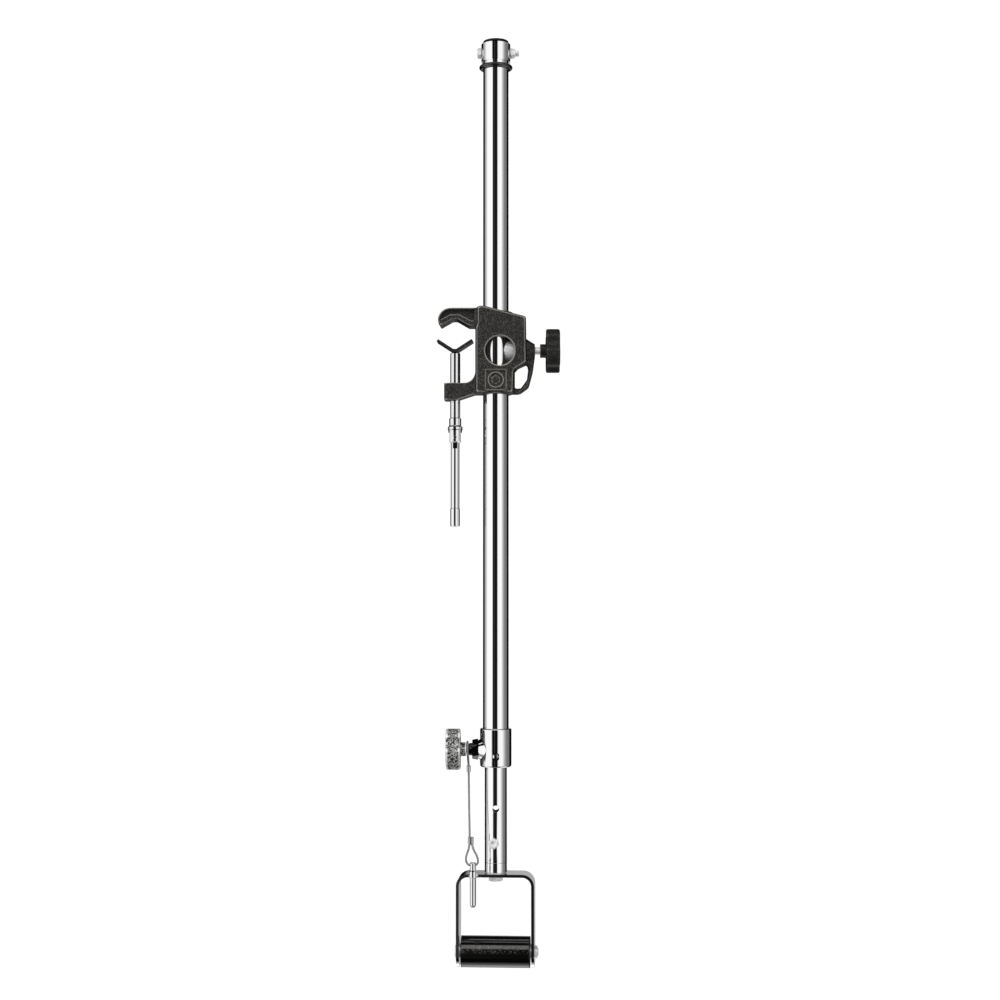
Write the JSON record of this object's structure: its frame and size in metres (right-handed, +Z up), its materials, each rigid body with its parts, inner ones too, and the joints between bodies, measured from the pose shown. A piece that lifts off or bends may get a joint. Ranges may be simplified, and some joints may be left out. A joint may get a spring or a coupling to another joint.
{
  "type": "telescopic drop hanger",
  "caption": "Telescopic chrome drop hanger with a sliding pipe clamp, locking collar, safety pin on a wire and a swivelling stirrup with a crossbar.",
  "frame": {"origin": "seat of the fixed pipe hook on the sliding clamp, in the middle of its depth", "axes": "+Z up along the tubes, +X from the pipe hook towards the tubes, +Y to the back"},
  "size_m": [0.1681, 0.061, 1.2624],
  "materials": {
    "chrome_tube": "polished chrome plate on steel tube",
    "chrome_collar": "polished chrome plate",
    "chrome_strap": "polished chrome plate on bent flat bar",
    "chrome_spindle": "chrome plate on a rolled thread",
    "chrome_handle": "chrome plate with a knurled end",
    "chrome_pin": "chrome plate",
    "zinc_fasteners": "zinc plated, satin",
    "dark_steel": "dark chrome",
    "steel_washers": "plain steel, satin",
    "cast_black": "black powder coat on cast aluminium, finely speckled",
    "jaw_plate_black": "black coat on steel plate",
    "pad_metal": "turned aluminium",
    "knob_black": "moulded black plastic",
    "knob_silver": "cast, satin silver",
    "crossbar_black": "glossy black sleeve",
    "plug_black": "black moulded plugs",
    "rubber_black": "black rubber",
    "guide_plastic": "natural nylon",
    "wire_grey": "steel wire in a clear grey coat",
    "ferrule_metal": "crimped aluminium"
  },
  "bodies": {
    "clamp": {"clamp_body": "cast_black"},
    "clamp_pad": {"clamp_pad": "pad_metal"},
    "clamp_knob": {"clamp_stud": "zinc_fasteners", "clamp_knob": "knob_black"},
    "jaw": {"jaw_v_plate": "jaw_plate_black"},
    "jaw_spindle": {"jaw_screw": "chrome_spindle", "jaw_retainer": "chrome_spindle", "handle_socket": "chrome_spindle", "handle_rivet": "chrome_spindle"},
    "handle": {"handle_rod": "chrome_handle", "handle_tip": "chrome_handle"},
    "outer_tube": {"outer_tube": "chrome_tube", "top_sleeve": "chrome_collar", "top_plug": "plug_black", "top_bolt": "zinc_fasteners", "top_nut": "zinc_fasteners", "bumper_ring": "rubber_black", "collar": "chrome_collar", "collar_bush": "guide_plastic", "brake_gland": "dark_steel", "brake_lock_nut": "dark_steel"},
    "brake_pad": {"brake_pad": "pad_metal"},
    "brake_knob": {"brake_stud": "zinc_fasteners", "collar_knob": "knob_silver"},
    "inner_tube": {"inner_tube": "chrome_tube", "inner_guide": "guide_plastic", "swivel_plug": "chrome_tube", "plug_bolt": "zinc_fasteners", "plug_nut": "zinc_fasteners", "swivel_bolt": "zinc_fasteners"},
    "stirrup": {"stirrup_strap": "chrome_strap", "swivel_washer": "steel_washers", "crossbar_bolt": "zinc_fasteners", "crossbar_nut": "zinc_fasteners", "crossbar_washers": "steel_washers"},
    "crossbar": {"crossbar_tube": "crossbar_black", "crossbar_caps": "plug_black"},
    "lanyard": {"lanyard_wire": "wire_grey", "upper_ferrule": "ferrule_metal", "lower_ferrule": "ferrule_metal", "safety_pin": "chrome_pin"}
  },
  "joints": [
    {"name": "tube_slide", "type": "slide", "parent": "clamp", "child": "outer_tube", "axis": [0, 0, 1], "range_m": [-0.33, 0.235]},
    {"name": "telescope", "type": "slide", "parent": "outer_tube", "child": "inner_tube", "axis": [0, 0, -1], "range_m": [0, 0.85]},
    {"name": "stirrup_swivel", "type": "hinge", "parent": "inner_tube", "child": "stirrup", "pos_m": [0.0555, 0, -0.7485], "axis": [0, 0, 1], "range_deg": [-91.5, 3.5]},
    {"name": "crossbar_roll", "type": "hinge", "parent": "stirrup", "child": "crossbar", "pos_m": [0.0555, 0, -0.854], "axis": [0.9981, -0.061, 0], "continuous": true},
    {"name": "clamp_pad_travel", "type": "slide", "parent": "clamp", "child": "clamp_pad", "axis": [1, 0, 0], "range_m": [0, 0.0045]},
    {"name": "clamp_knob_turn", "type": "hinge", "parent": "clamp_pad", "child": "clamp_knob", "pos_m": [0.0555, 0, -0.042], "axis": [1, 0, 0], "range_deg": [-1, 1081]},
    {"name": "jaw_travel", "type": "slide", "parent": "clamp", "child": "jaw", "axis": [0, 0, 1], "range_m": [-0.0315, 0.0145]},
    {"name": "spindle_turn", "type": "hinge", "parent": "jaw", "child": "jaw_spindle", "pos_m": [0, 0, -0.1], "axis": [0, 0, 1], "range_deg": [-5672, 2612]},
    {"name": "handle_fold", "type": "hinge", "parent": "jaw_spindle", "child": "handle", "pos_m": [0, 0, -0.161], "axis": [0, 1, 0], "range_deg": [0, 90]},
    {"name": "brake_pad_travel", "type": "slide", "parent": "outer_tube", "child": "brake_pad", "axis": [-1, 0, 0], "range_m": [0, 0.002]},
    {"name": "brake_knob_turn", "type": "hinge", "parent": "brake_pad", "child": "brake_knob", "pos_m": [0.0555, 0, -0.5834], "axis": [-1, 0, 0], "range_deg": [-1, 481]},
    {"name": "lanyard_swing", "type": "hinge", "parent": "outer_tube", "child": "lanyard", "pos_m": [0.0172, 0, -0.5834], "axis": [-1, 0, 0], "range_deg": [0, 60]}
  ],
  "couplings": [
    {"joint": "clamp_knob_turn", "follows": "clamp_pad_travel", "rad_per_m": 4188.8},
    {"joint": "spindle_turn", "follows": "jaw_travel", "rad_per_m": 3141.6},
    {"joint": "brake_knob_turn", "follows": "brake_pad_travel", "rad_per_m": 4188.8}
  ]
}
